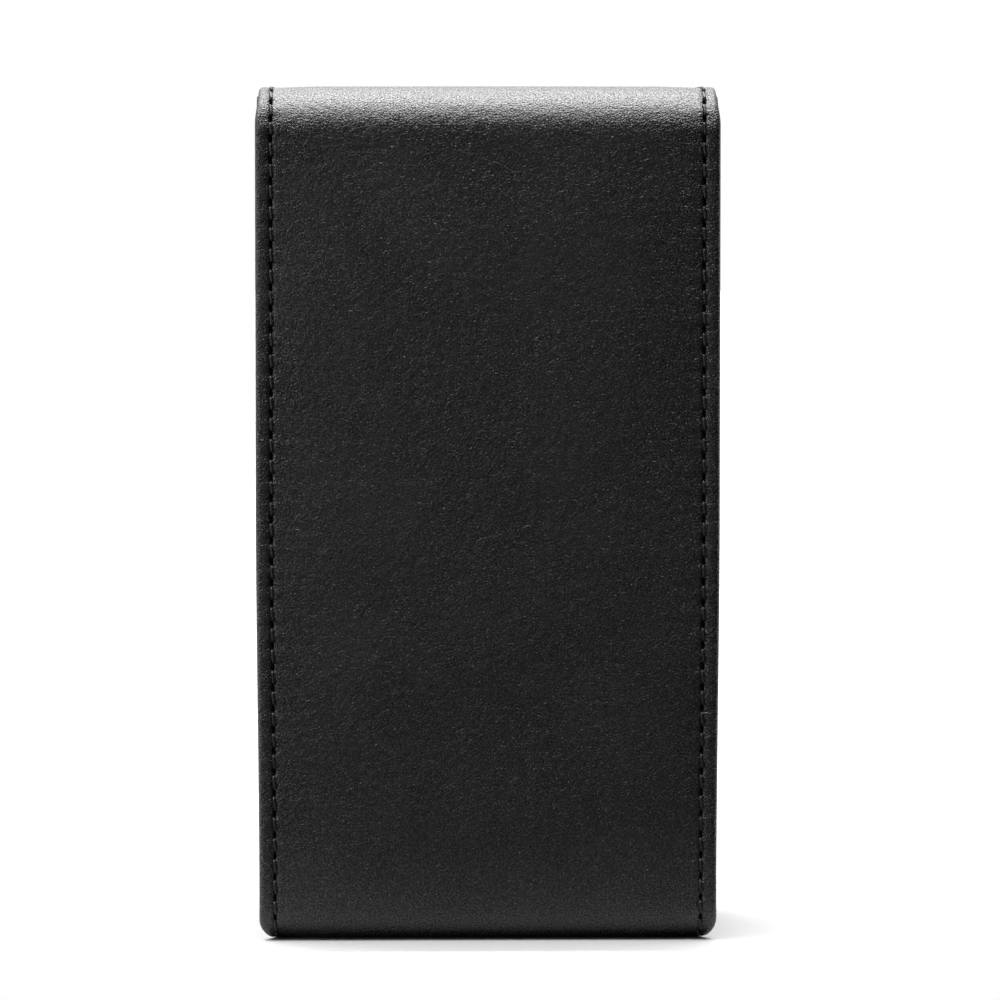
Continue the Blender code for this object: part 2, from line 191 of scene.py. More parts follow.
def half_width(s):
    """The strip tapers slightly towards the bottom, and is drawn in under it."""
    taper = 0.42 * MM * smooth((66 * MM - STRIP.at(s)[1]) / (60 * MM))
    return WIDTH / 2 - taper - 0.5 * MM * drawn(s)


def rim_pinch(s):
    """How much narrower the rim outside the seam is where it turns under the case and over the top."""
    top = smooth((STRIP.at(s)[1] - HEIGHT + 0.8 * FOLD_RADIUS) / (0.8 * FOLD_RADIUS))
    return 1.4 * MM * drawn(s) + 0.5 * MM * top


def pinched(x, s, depth):
    rim = 1 - smooth((half_width(s) - np.abs(x)) / (INSET - 0.3 * MM))
    return place(x - np.sign(x) * rim_pinch(s) * rim, s, depth)


# ---------------------------------------------------------------- panels


class Edge:
    """Both side edges of a panel, from a border to its end, round two corners where the end is closed.

    A place on it is t, the length along the seam line from the border, a side of -1 or 1, and e, the
    distance in from the edge."""

    def __init__(self, border, end, corner=None, half=half_width, inset=INSET):
        self.border, self.end, self.corner, self.half, self.inset = border, end, corner, half, inset
        self.way = 1 if end > border else -1
        self.straight = abs(end - border) - (corner or 0)
        self.bend = (corner - inset) * math.pi / 2 if corner else 0.0
        self.turn_s = border + self.way * self.straight
        self.end_half = float(half(self.turn_s)) - corner if corner else 0.0
        self.reach = self.straight + self.bend + self.end_half

    def at(self, t, side, e):
        """x and s on the strip."""
        t, side, e = np.broadcast_arrays(t, side, e)
        s = self.border + self.way * np.minimum(t, self.straight)
        x = self.half(s) - e
        if self.corner:
            angle = np.clip((t - self.straight) / (self.corner - self.inset), 0, math.pi / 2)
            left = self.end_half - (t - self.straight - self.bend)
            on_bend, on_end = t > self.straight, t > self.straight + self.bend
            x = np.where(on_bend, self.end_half + (self.corner - e) * np.cos(angle), x)
            x = np.where(on_end, left, x)
            s = np.where(on_bend, self.turn_s + self.way * (self.corner - e) * np.sin(angle), s)
        return x * side, s

    def rows(self):
        """Lengths along one side, and along half of a closed end."""
        side = np.linspace(0, self.straight, STRIDE * round(self.straight / STEP / STRIDE) + 1)
        if not self.corner:
            return side, None
        count = STRIDE * max(2, round(self.bend / STEP / STRIDE))
        bend = np.linspace(self.straight, self.straight + self.bend, count + 1)[1:]
        count = COLUMNS // 2 * round(self.end_half / STEP / (COLUMNS // 2))
        end = np.linspace(self.straight + self.bend, self.reach, count + 1)[1:]
        return np.concatenate([side, bend]), end

    def grid(self, insets):
        """Rows of (x, s, e, t) round the edge, the rows on one side, and whether the end is closed."""
        side, end = self.rows()
        t = [side, side[::-1]] if end is None else [side, end, end[-2::-1], side[::-1]]
        signs = [np.full(len(part), -1.0 if i < len(t) / 2 else 1.0) for i, part in enumerate(t)]
        t, signs = np.concatenate(t)[:, None], np.concatenate(signs)[:, None]
        e = np.array(insets)[None, :]
        x, s = self.at(t, signs, e)
        t, e = np.broadcast_arrays(t, e)
        return np.stack([x, s, e, t], axis=-1), len(side) - 1, end is not None


def weave(band, side_rows, closed):
    """A surface from a fine band round a panel's edge: the band itself, and wide cells across its middle.

    Gives the points' values, with the middle's read between the band's inner points, the faces, and the
    line of points across each open end."""
    rows, columns = band.shape[:2]
    last = rows - 1
    values = list(band.reshape(-1, band.shape[2]))
    faces = []

    def at(row, column):
        return row * columns + column

    for row in range(last):
        if not closed and row == side_rows:
            continue
        for column in range(columns - 1):
            faces.append(
                (at(row, column), at(row + 1, column), at(row + 1, column + 1), at(row, column + 1))
            )

    inner = columns - 1
    end_step = (last - 2 * side_rows) // COLUMNS
    lines = []
    for row in range(0, side_rows + 1, STRIDE):
        line = [at(row, inner)]
        for column in range(1, COLUMNS):
            if closed and row == side_rows:
                line.append(at(side_rows + column * end_step, inner))
                continue
            share = column / COLUMNS
            line.append(len(values))
            values.append(band[row, inner] * (1 - share) + band[last - row, inner] * share)
        line.append(at(last - row, inner))
        lines.append(line)

    for i, (upper, lower) in enumerate(zip(lines, lines[1:])):
        row = i * STRIDE
        for column in range(COLUMNS):
            face = [upper[column]]
            if column == 0:
                face += [at(row + k, inner) for k in range(1, STRIDE)]
            face.append(lower[column])
            if closed and row + STRIDE == side_rows:
                start = side_rows + column * end_step
                face += [at(start + k, inner) for k in range(1, end_step)]
            face.append(lower[column + 1])
            if column == COLUMNS - 1:
                face += [at(last - row - k, inner) for k in range(STRIDE - 1, 0, -1)]
            face.append(upper[column + 1])
            faces.append(face)

    def across(line, row):
        edge = range(columns - 1)
        return [at(row, c) for c in edge] + line + [at(last - row, c) for c in reversed(edge)]

    ends = [across(lines[0], 0)] + ([] if closed else [across(lines[-1], side_rows)])
    return np.array(values), faces, ends


def build(name, points, faces, material, uv=None):
    """A smooth mesh object. The uv is in millimetres of the flat leather."""
    mesh = bpy.data.meshes.new(name)
    mesh.from_pydata(points.tolist(), [], [list(face) for face in faces])
    mesh.polygons.foreach_set("use_smooth", np.ones(len(mesh.polygons), bool))
    if uv is not None:
        layer = mesh.uv_layers.new(name="flat")
        corners = np.zeros(len(mesh.loops), int)
        mesh.loops.foreach_get("vertex_index", corners)
        layer.data.foreach_set("uv", (uv[corners] / MM).astype(np.float32).ravel())
    mesh.materials.append(material)
    obj = bpy.data.objects.new(name, mesh)
    bpy.context.scene.collection.objects.link(obj)
    return obj


def panel(name, edge, outer, inner, material, outer_insets, inner_insets, layout=place, hidden="inner"):
    """A layer of the strip, as a closed shell between an outer and an inner depth.

    The grain's coordinates run on from the face round the edge onto the hidden side."""
    shells = []
    for face, insets, depth in (("outer", outer_insets, outer), ("inner", inner_insets, inner)):
        band, side_rows, closed = edge.grid(insets)
        values, faces, ends = weave(band, side_rows, closed)
        x, s, e, t = values.T
        fine = band.shape[0] * band.shape[1]
        e[fine:] = edge.half(s[fine:]) - np.abs(x[fine:])
        if closed:
            e[fine:] = np.minimum(e[fine:], np.abs(edge.end - s[fine:]))
        turned_over = (2 * e + LEATHER) * np.sign(x) if face == hidden else 0
        uv = np.stack([x + turned_over, s], axis=-1)
        shells.append((layout(x, s, depth(x, s, e, t)), faces, uv, ends))
    outer_points, outer_faces, outer_uv, outer_ends = shells[0]
    inner_points, inner_faces, inner_uv, inner_ends = shells[1]
    offset = len(outer_points)
    columns, inner_columns = len(outer_insets), len(inner_insets)
    faces = list(outer_faces) + [[offset + v for v in reversed(face)] for face in inner_faces]
    for row in range(band.shape[0] - 1):
        if closed or row != side_rows:
            a, b = row * columns, (row + 1) * columns
            c, d = offset + row * inner_columns, offset + (row + 1) * inner_columns
            faces.append((b, a, c, d))
    for i, (line, inner_line) in enumerate(zip(outer_ends, inner_ends)):
        cap = line + [offset + v for v in reversed(inner_line)]
        faces.append(cap[::-1] if i else cap)
    points = np.concatenate([outer_points, inner_points])
    first = [points[v] for v in faces[0][:4]]
    facing = np.cross(first[1] - first[0], first[3] - first[0])
    outward = outer_points[0] - inner_points[0]
    if facing @ outward < 0:
        faces = [face[::-1] for face in faces]
    made = build(name, points, faces, material, np.concatenate([outer_uv, inner_uv]))
    made.data.set_sharp_from_angle(angle=math.radians(75))
    return made


EDGE_ROUND = 0.62 * MM


def rounding(e, radius=EDGE_ROUND):
    """How far a rounded edge lies below the face, at a distance e in from it."""
    inside = np.clip(radius - e, 0, radius)
    return radius - np.sqrt(radius**2 - inside**2)


def crown(s):
    """Where the padded panels may stand proud: 1 in the middle of each, 0 in the bends and below."""
    rises = [(2 * MM, S_BEND, 1), (S_BACK, S_REAR, 1), (S_TOP, S_FRONT, 0.4), (S_FLAP, S_END, 1)]
    return sum(share * smooth((s - a) / (16 * MM)) * smooth((b - s) / (16 * MM)) for a, b, share in rises)


def waves(x, s):
    """The leather's slight unevenness."""
    return (
        np.sin(x / (7.3 * MM) + 1.3) * np.sin(s / (11 * MM))
        + 0.6 * np.sin(x / (4.1 * MM) + s / (6.3 * MM))
        + 0.5 * np.sin(s / (4.7 * MM) - x / (9 * MM) + 2)
    )


def leather_face(pitch):
    """The depth of the outer face, with a seam whose holes are this far apart."""

    def depth(x, s, e, t):
        free = crown(s)
        sewn = 0.22 * MM * (1 - smooth((e - INSET) / (6 * MM)))
        roll = -0.12 * MM * np.sin(np.clip(e / INSET, 0, 1) * math.pi)
        groove = 0.16 * MM * bell(e - INSET, 0.4 * MM)
        to_hole = np.abs(t - pitch * np.round(t / pitch))
        slot = smooth(1 + ((1 - STITCH) / 2 * pitch + 0.05 * MM - to_hole) / (0.22 * MM))
        hole = 0.65 * MM * slot * bell(e - INSET, 0.14 * MM)
        pucker = 0.04 * MM * np.cos(2 * math.pi * t / pitch) * bell(e - INSET, 1.6 * MM)
        middle = 1 - np.clip(np.abs(x) / (WIDTH / 2 - INSET), 0, 1) ** 2
        lift = free * (0.34 * MM * middle + 0.045 * MM * waves(x, s) * smooth((e - INSET) / (3 * MM)))
        return rounding(e) + sewn + roll + groove + hole + pucker - lift

    return depth


def leather_back(x, s, e, t):
    return LEATHER - rounding(e)


SEAM_COLUMNS = np.array(
    [0, 0.1, 0.28, 0.5, 0.8, 1.2, 1.6, 1.9, 2.1, 2.2, 2.3, 2.4, 2.5, 2.6, 2.7, 2.9, 3.2, 3.7, 4.6]
) * MM
PLAIN_COLUMNS = np.array([0, 0.1, 0.28, 0.62, 2.0, 4.6]) * MM


# ---------------------------------------------------------------- materials


class Nodes:
    """A material's node tree, with a short way to add and join nodes."""

    def __init__(self, name):
        self.material = bpy.data.materials.new(name)
        self.material.use_nodes = True
        self.tree = self.material.node_tree
        self.shader = self.tree.nodes["Principled BSDF"]

    def add(self, kind, links=None, **settings):
        node = self.tree.nodes.new(kind)
        for key, value in settings.items():
            setattr(node, key, value)
        for key, value in (links or {}).items():
            self.set(node, key, value)
        return node

    def set(self, node, key, value):
        socket = node.inputs[key]
        if isinstance(value, bpy.types.NodeSocket):
            self.tree.links.new(value, socket)
        else:
            socket.default_value = value

    def maths(self, operation, a, b=0.0, c=0.0):
        return self.add("ShaderNodeMath", {0: a, 1: b, 2: c}, operation=operation).outputs[0]

    def ramp(self, value, *stops):
        node = self.add("ShaderNodeValToRGB", {0: value})
        elements = node.color_ramp.elements
        while len(elements) < len(stops):
            elements.new(0.5)
        for element, (position, colour) in zip(elements, stops):
            element.position = position
            element.color = (*((colour,) * 3 if isinstance(colour, float) else colour), 1)
        return node.outputs[0]

    def noise(self, vector, scale, detail=2.0, roughness=0.5):
        node = self.add(
            "ShaderNodeTexNoise",
            {"Vector": vector, "Scale": scale, "Detail": detail, "Roughness": roughness},
        )
        return node.outputs[0]

    def bump(self, height, distance, strength=1.0):
        links = {"Height": height, "Distance": distance, "Strength": strength}
        return self.add("ShaderNodeBump", links).outputs[0]


MIX_A, MIX_B, MIX_RESULT = 6, 7, 2  # a Mix node's colour sockets


def leather_material():
    """Black leather with a fine pebble grain, in millimetres of the flat hide."""
    n = Nodes("black_leather")
    flat = n.add("ShaderNodeUVMap", uv_map="flat").outputs[0]
    warp = n.add("ShaderNodeTexNoise", {"Vector": flat, "Scale": 1.1, "Detail": 2.0}).outputs["Color"]
    bent = n.add("ShaderNodeVectorMath", {0: warp, 1: (0.5, 0.5, 0.5)}, operation="SUBTRACT").outputs[0]
    bent = n.add("ShaderNodeVectorMath", {0: bent, 3: 0.5}, operation="SCALE").outputs[0]
    grain_at = n.add("ShaderNodeVectorMath", {0: flat, 1: bent}, operation="ADD").outputs[0]
    cells = n.add(
        "ShaderNodeTexVoronoi",
        {"Vector": grain_at, "Scale": 2.1},
        voronoi_dimensions="2D",
        feature="DISTANCE_TO_EDGE",
    ).outputs["Distance"]
    pebble = n.ramp(n.maths("MULTIPLY", cells, 2.6), (0.0, 0.0), (0.5, 0.75), (1.0, 1.0))
    fine = n.noise(flat, 3.7, 2.0, 0.6)
    soft = n.noise(flat, 0.8, 3.0, 0.6)
    height = n.maths("ADD", n.maths("MULTIPLY", pebble, 0.28), n.maths("MULTIPLY", fine, 1.12))
    height = n.maths("ADD", height, n.maths("MULTIPLY", soft, 1.6))
    patches = n.noise(flat, 0.06, 3.0, 0.55)
    tone = n.ramp(patches, (0.3, (0.005, 0.005, 0.0052)), (0.7, (0.008, 0.008, 0.008)))
    # Painted shade: the base colour is darkened to 0.45 of the tone at the bottoms of the grain's creases,
    # where shade falls.
    painted_crease_shade = n.ramp(pebble, (0.0, 0.45), (0.6, 1.0))
    links = {0: 1.0, MIX_A: tone, MIX_B: painted_crease_shade}
    mix = n.add("ShaderNodeMix", links, data_type="RGBA", blend_type="MULTIPLY")
    n.set(n.shader, "Base Color", mix.outputs[MIX_RESULT])
    rough = n.maths("MULTIPLY_ADD", patches, 0.1, 0.2)
    rough = n.maths("ADD", rough, n.maths("MULTIPLY", n.maths("SUBTRACT", 1.0, pebble), 0.08))
    n.set(n.shader, "Roughness", rough)
    n.set(n.shader, "Specular IOR Level", n.ramp(fine, (0.36, 0.24), (0.64, 0.76)))
    n.set(n.shader, "Normal", n.bump(height, 0.112 * MM))
    return n.material


def lining_material():
    """Charcoal microfibre with a short nap, in millimetres of the flat cloth."""
    n = Nodes("charcoal_microfibre")
    flat = n.add("ShaderNodeUVMap", uv_map="flat").outputs[0]
    nap = n.noise(flat, 3.2, 4.0, 0.65)
    patches = n.noise(flat, 0.09, 2.0, 0.5)
    tone = n.maths("ADD", n.maths("MULTIPLY", nap, 0.5), n.maths("MULTIPLY", patches, 0.5))
    n.set(n.shader, "Base Color", n.ramp(tone, (0.3, (0.008, 0.008, 0.009)), (0.7, (0.021, 0.021, 0.023))))
    n.set(n.shader, "Roughness", 0.95)
    n.set(n.shader, "Specular IOR Level", 0.2)
    n.set(n.shader, "Sheen Weight", 0.06)
    n.set(n.shader, "Sheen Roughness", 0.5)
    n.set(n.shader, "Normal", n.bump(nap, 0.12 * MM, 0.7))
    return n.material


def thread_material():
    """Black waxed thread."""
    n = Nodes("black_thread")
    at = n.add("ShaderNodeTexCoord").outputs["Object"]
    fibre = n.noise(at, 9000.0)
    n.set(n.shader, "Base Color", n.ramp(fibre, (0.3, 0.004), (0.75, 0.012)))
    n.set(n.shader, "Roughness", 0.4)
    n.set(n.shader, "Specular IOR Level", 0.35)
    n.set(n.shader, "Normal", n.bump(fibre, 0.03 * MM, 0.6))
    return n.material


def metal_material():
    """Blackened brass, slightly worn."""
    n = Nodes("blackened_brass")
    at = n.add("ShaderNodeTexCoord").outputs["Object"]
    wear = n.noise(at, 900.0, 4.0, 0.6)
    n.set(n.shader, "Base Color", n.ramp(wear, (0.35, (0.028, 0.028, 0.029)), (0.75, (0.042, 0.041, 0.04))))
    n.set(n.shader, "Metallic", 1.0)
    n.set(n.shader, "Roughness", n.maths("MULTIPLY_ADD", wear, 0.15, 0.27))
    n.set(n.shader, "Normal", n.bump(wear, 0.01 * MM, 0.4))
    return n.material


def fibre_material(name, low, high):
    """The pads and the boards: pressed fibres."""
    n = Nodes(name)
    at = n.add("ShaderNodeTexCoord").outputs["Object"]
    fibre = n.noise(at, 1800.0, 5.0, 0.7)
    n.set(n.shader, "Base Color", n.ramp(fibre, (0.3, low), (0.7, high)))
    n.set(n.shader, "Roughness", 0.9)
    n.set(n.shader, "Normal", n.bump(fibre, 0.08 * MM, 0.6))
    return n.material


LEATHER_LOOK = leather_material()
LINING_LOOK = lining_material()
THREAD_LOOK = thread_material()
METAL_LOOK = metal_material()
FELT_LOOK = fibre_material("grey_felt", (0.02, 0.02, 0.02), (0.05, 0.05, 0.05))
BOARD_LOOK = fibre_material("fibre_board", (0.05, 0.038, 0.025), (0.11, 0.085, 0.055))


# ---------------------------------------------------------------- thread


def stitches(name, where, outward, rows):
    """Separate stitches. where(k, u) gives a thread's middle from its first hole, u 0, to its second, u 1."""
    along, around = 21, 10
    u = np.linspace(0, 1, along)
    angles = np.linspace(0, 2 * math.pi, around, endpoint=False)
    points, faces = [], []
    for k in rows:
        middle = where(k, u)
        out = outward(k, u)
        tangent = np.gradient(middle, axis=0)
        tangent /= np.linalg.norm(tangent, axis=1)[:, None]
        across = np.cross(tangent, out)
        across /= np.linalg.norm(across, axis=1)[:, None]
        up = np.cross(across, tangent)
        strand = 1 + 0.13 * np.cos(3 * (angles[None, :] - 2 * math.pi * 1.6 * u[:, None]))
        radius = THREAD * (1 - 0.25 * np.abs(2 * u - 1) ** 4)[:, None] * strand
        ring = middle[:, None, :] + radius[:, :, None] * (
            np.cos(angles)[None, :, None] * across[:, None, :]
            + np.sin(angles)[None, :, None] * up[:, None, :]
        )
        start = len(points) * along * around
        points.append(ring.reshape(-1, 3))
        for i in range(along - 1):
            for j in range(around):
                a, b = i * around + j, i * around + (j + 1) % around
                faces.append([start + v for v in (a, a + around, b + around, b)])
    return build(name, np.concatenate(points), faces, THREAD_LOOK)


def thread_dip(u):
    """How far a stitch dives into the leather along its length."""
    return 0.75 * MM * smooth((np.abs(2 * u - 1) - 0.62) / 0.38)


def sew(name, edge, pitch, inside=False, clear=0.0):
    """Stitches along a panel's seam, round both sides. The first stretch of each side may stay clear."""
    total = 2 * edge.reach

    def spot(k, u):
        t = (k + 0.5 + (u - 0.5) * STITCH) * pitch
        return np.minimum(t, total - t), -1.0 if k + 0.5 < total / pitch / 2 else 1.0

    def where(k, u):
        t, side = spot(k, u)
        x, s = edge.at(t, side, INSET)
        x = x - SLANT * (u - 0.5) * edge.way * -side
        dip = thread_dip(u)
        sink = SEWN_DEPTH + LINING + 0.1 * MM - dip if inside else 0.24 * MM + dip
        return place(x, s, sink)

    def outward(k, u):
        t, side = spot(k, u)
        x, s = edge.at(t, side, INSET)
        return place(x, s, -MM) - place(x, s, 0.0)

    rows = [k for k in range(round(total / pitch)) if min(k + 0.5, total / pitch - k - 0.5) * pitch > clear]
    return stitches(name, where, outward, rows)


def even_pitch(length):
    return length / round(length / PITCH)


# ---------------------------------------------------------------- the strip

front_edge = Edge(S_BASE, 0.0, MOUTH_CORNER)
back_edge = Edge(S_BASE, S_LID)
flap_edge = Edge(S_LID, S_END, FLAP_CORNER)

front_pitch = even_pitch(2 * front_edge.reach)
back_pitch = even_pitch(back_edge.reach)
flap_pitch = even_pitch(2 * flap_edge.reach)


def over_rear(piece):
    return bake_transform(piece)


def over_front(piece):
    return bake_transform(piece)


def on_case(piece):
    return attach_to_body(piece, "case")


for label, edge, pitch, attach in (
    ("front", front_edge, front_pitch, on_case),
    ("back", back_edge, back_pitch, over_rear),
    ("flap", flap_edge, flap_pitch, over_front),
):
    leather = panel(
        f"{label}_panel_leather",
        edge,
        leather_face(pitch),
        leather_back,
        LEATHER_LOOK,
        SEAM_COLUMNS,
        PLAIN_COLUMNS,
        pinched,
    )
    thread = sew(f"{label}_panel_stitches", edge, pitch)
    for piece, slot in ((leather, "leather"), (thread, "thread")):
        attach(piece)

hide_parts("outer_wrap")
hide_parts("outer_wrap", "lid_leather")
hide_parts("lid_leather", "flap_leather")
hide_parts("left_pocket_seam", "right_pocket_seam", "mouth_hem")
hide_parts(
    "left_pocket_seam",
    "right_pocket_seam",
    "left_lid_seam",
    "right_lid_seam",
)
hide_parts("left_lid_seam", "right_lid_seam", "flap_seam")

# ---------------------------------------------------------------- linings and pads

POCKET_HALF = 29 * MM
LINING_MARGIN = 0.25 * MM
FACING_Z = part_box("mouth_facing")[0].z


def lining_half(s):
    """The lining lies between the gussets in the pocket, and is as wide as the lid above them."""
    above = smooth((s - S_REAR - 0.3 * MM) / (4.5 * MM))
    return POCKET_HALF + (half_width(s) - LINING_MARGIN - POCKET_HALF) * above


def flap_lining_half(s):
    return half_width(s) - LINING_MARGIN


def lining_face(offset):
    """The lining's depth: sewn to the leather along the lid and the flap, and over the boards inside."""

    def depth(x, s, e, t):
        sewn = smooth((s - S_REAR) / (6 * MM)) * (1 - smooth((e - 2.6 * MM) / (3.2 * MM)))
        return LINING_DEPTH - (LINING_DEPTH - SEWN_DEPTH) * sewn + offset + nap(x, s) * (offset > 0)

    return depth


def nap(x, s):
    return 0.03 * MM * waves(x * 1.7, s * 1.3)


def lining(name, edge, attach, *nodes):
    insets = np.array([0, 0.3, 1.2, 2.0, 2.8, 3.8, 5.0, 6.2]) * MM
    made = panel(
        name, edge, lining_face(0.0), lining_face(LINING), LINING_LOOK, insets, insets, hidden="outer"
    )
    attach(made)
    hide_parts(*nodes)
    wide = 2 * float(np.max(edge.half(np.linspace(edge.border, edge.end, 50))))
    mean = 2 * float(np.mean(edge.half(np.linspace(edge.border, edge.end, 200))))
    return made


pocket_front = Edge(S_BASE, MOUTH_Z - FACING_Z + 0.3 * MM, half=lining_half)
pocket_back = Edge(S_BASE, S_LID, half=lining_half)
flap_inside = Edge(S_LID, S_END - LINING_MARGIN, FLAP_CORNER - LINING_MARGIN, half=flap_lining_half)
lining("front_pocket_lining", pocket_front, on_case, "pocket_lining")
lining("back_pocket_lining", pocket_back, over_rear, "pocket_lining", "lid_lining")
flap_lining = lining("flap_inner_lining", flap_inside, over_front, "lid_lining", "flap_lining")

lid_inside = sew("lid_inside_stitches", back_edge, back_pitch, True, S_REAR + 7 * MM - S_BASE)
over_rear(lid_inside)
flap_stitches = sew("flap_inside_stitches", flap_edge, flap_pitch, True)
over_front(flap_stitches)


def pad(name, border, end, node):
    """A thin pressed felt pad between the leather and the lining, soft at its edges."""

    def half(s):
        return POCKET_HALF + 0 * s

    def outer(x, s, e, t):
        return 1.7 * MM + 0.55 * rounding(np.minimum(e, from_ends(s)), 1.2 * MM)

    def inner(x, s, e, t):
        return 2.9 * MM - 0.35 * rounding(np.minimum(e, from_ends(s)), 1.2 * MM)

    def from_ends(s):
        return np.minimum(np.abs(s - border), np.abs(end - s))

    insets = np.array([0, 0.2, 0.5, 1.0, 2.0]) * MM
    made = panel(name, Edge(border, end, half=half), outer, inner, FELT_LOOK, insets, insets)
    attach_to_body(made, "case")
    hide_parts(node)


pad("back_felt", S_BACK + MM, S_REAR - 3 * MM, "back_pad")
pad("front_felt", S_BEND - MM, 2 * MM, "front_pad")

# ---------------------------------------------------------------- gussets

WALL_X = 31.4 * MM
WALL_DEPTH = 4.4 * MM
GUSSET = 1.2 * MM
GUSSET_LINING = 0.55 * MM
HEM_Z = MOUTH_Z - INSET


def bow(y, z):
    """How far a side wall is drawn in between its sewn edges."""
    middle = (FRONT_Y + BACK_Y) / 2
    across = np.clip(1 - ((y - middle) / ((FRONT_Y - BACK_Y) / 2 - WALL_DEPTH)) ** 2, 0, 1)
    up = smooth(z / (25 * MM)) * (0.75 + 0.25 * np.cos((z - 60 * MM) / (24 * MM)))
    return 0.7 * MM * across**0.8 * up


def gusset_rows():
    """Lengths round the pocket from the front's mouth to the same height on the back."""
    top = np.linspace(0, 5 * MM, 17)
    side = np.linspace(5 * MM, S_BEND, 4 * 27 + 1)[1:]
    bend = np.linspace(S_BEND, S_BASE - BASE_RUN / 2, 9)[1:]
    down = np.concatenate([top, side, bend])
    bottom = np.linspace(S_BASE - BASE_RUN / 2, S_BASE + BASE_RUN / 2, 3 * COLUMNS + 1)[1:]
    up = (2 * S_BASE - down)[::-1]
    return np.concatenate([down, bottom, up[1:]]), len(down) - 1


def gusset(label, side):
    rows, side_rows = gusset_rows()
    below = np.minimum(rows, 2 * S_BASE - rows)  # length down from the top edge, on either side
    corner = MOUTH_CORNER - np.sqrt(MOUTH_CORNER**2 - np.clip(MOUTH_CORNER - below, 0, MOUTH_CORNER) ** 2)
    rim = half_width(rows) - rim_pinch(rows) - 0.3 * MM - corner
    section = [
        (None, 0.0, 2.0),
        (None, 0.0, 2.55),
        (None, 0.12, 2.8),
        (None, 0.4, 2.92),
        (33.3, None, 2.95),
        (32.6, None, 2.98),
        (32.1, None, 3.1),
        (31.7, None, 3.4),
        (31.48, None, 3.85),
        (31.4, None, 4.4),
    ]
    band = np.zeros((len(rows), len(section), 3))
    for column, (x, inset, depth) in enumerate(section):
        reach = rim - inset * MM if x is None else np.minimum(x * MM, rim - 0.45 * MM)
        band[:, column] = place(np.maximum(reach, WALL_X), rows, depth * MM)
    points, faces, _ = weave(band, side_rows, True)
    y, z = points[:, 1], points[:, 2]
    wall = points[:, 0] < WALL_X + 0.05 * MM
    hem = 0.22 * MM * bell(z - HEM_Z, 0.8 * MM)
    points[:, 0] -= np.where(wall, bow(y, z) + hem, 0) + rounding(MOUTH_Z - z, 0.5 * MM)
    points[:, 0] *= side
    flat = np.stack([y, z], axis=-1)
    faces = [f[::-1] for f in faces] if side > 0 else faces
    made = build(f"{label}_side_gusset", points, faces, LEATHER_LOOK, flat)
    thick = made.modifiers.new("thickness", "SOLIDIFY")
    thick.thickness = GUSSET
    thick.offset = -1
    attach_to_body(made, "case")
    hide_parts(f"{label}_gusset")

    low, high = BACK_Y + WALL_DEPTH, FRONT_Y - WALL_DEPTH
    count = round((high - low) / PITCH)
    pitch = (high - low) / count

    def where(k, u):
        y = low + (k + 0.5 + (u - 0.5) * STITCH) * pitch
        x = WALL_X - bow(y, np.full_like(y, HEM_Z)) - 0.1 * MM - thread_dip(u)
        return np.stack([side * x, y, np.full_like(y, HEM_Z) + SLANT * (u - 0.5)], axis=-1)

    def outward(k, u):
        return np.tile((side, 0.0, 0.0), (len(u), 1))

    hem_thread = stitches(f"{label}_hem_stitches", where, outward, range(count))
    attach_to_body(hem_thread, "case")
    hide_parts(f"{label}_gusset_hem")

    y, z = np.meshgrid(np.linspace(BACK_Y + 2 * MM, FRONT_Y - 2 * MM, 25), np.linspace(2.2 * MM, MOUTH_Z, 61))
    x = side * (WALL_X - GUSSET - 0.25 * MM - bow(y, z) - rounding(MOUTH_Z - z, 0.4 * MM))
    rows, columns = y.shape
    faces = [
        (r * columns + c, r * columns + c + 1, (r + 1) * columns + c + 1, (r + 1) * columns + c)
        for r in range(rows - 1)
        for c in range(columns - 1)
    ]
    points = np.stack([x, y, z], axis=-1).reshape(-1, 3)
    flat = points[:, 1:]
    faces = faces if side > 0 else [f[::-1] for f in faces]
    lined = build(f"{label}_side_lining", points, faces, LINING_LOOK, flat)
    thick = lined.modifiers.new("thickness", "SOLIDIFY")
    thick.thickness = GUSSET_LINING
    thick.offset = -1
    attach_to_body(lined, "case")
    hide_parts(f"{label}_gusset_lining")


gusset("left", -1)
gusset("right", 1)


def mouth_facing():
    """The leather band inside the mouth, turned over its top edge to meet the front panel."""
    outline = [(1.5, 0.75), (1.62, 0.3), (1.95, 0.06), (2.6, 0.0), (3.3, 0.05), (3.75, 0.3), (3.98, 0.75)]
    outline += [(4.0, z) for z in (2.0, 3.5, 5.0, 6.5, 8.0, 9.5, 11.0, 12.0)]
    outline += [(3.9, 12.4), (3.6, 12.5), (3.2, 12.5), (3.2, 10.0), (3.2, 6.0)]
    outline += [(3.15, 2.5), (2.9, 1.4), (1.5, 1.2)]
    half = POCKET_HALF + 0.2 * MM
    stops = np.concatenate([[-1, -0.996, -0.985], np.linspace(-0.95, 0.95, 39), [0.985, 0.996, 1]])
    points, faces = [], []
    for share in stops:
        squeeze = 0.25 * MM * max(0.0, (abs(share) - 0.97) / 0.03) ** 2
        for depth, down in outline:
            centre = 2.75 * MM
            d = depth * MM + math.copysign(squeeze, centre - depth * MM)
            points.append((share * half, FRONT_Y - d, MOUTH_Z - down * MM - squeeze))
    n = len(outline)
    for i in range(len(stops) - 1):
        for j in range(n):
            a, b = i * n + j, i * n + (j + 1) % n
            faces.append((a, a + n, b + n, b))
    faces += [tuple(range(n)), tuple(range((len(stops) - 1) * n, len(stops) * n))[::-1]]
    points = np.array(points)
    made = build("mouth_leather_facing", points, faces, LEATHER_LOOK, points[:, [0, 2]])
    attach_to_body(made, "case")
    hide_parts("mouth_facing")


mouth_facing()

# ---------------------------------------------------------------- press stud


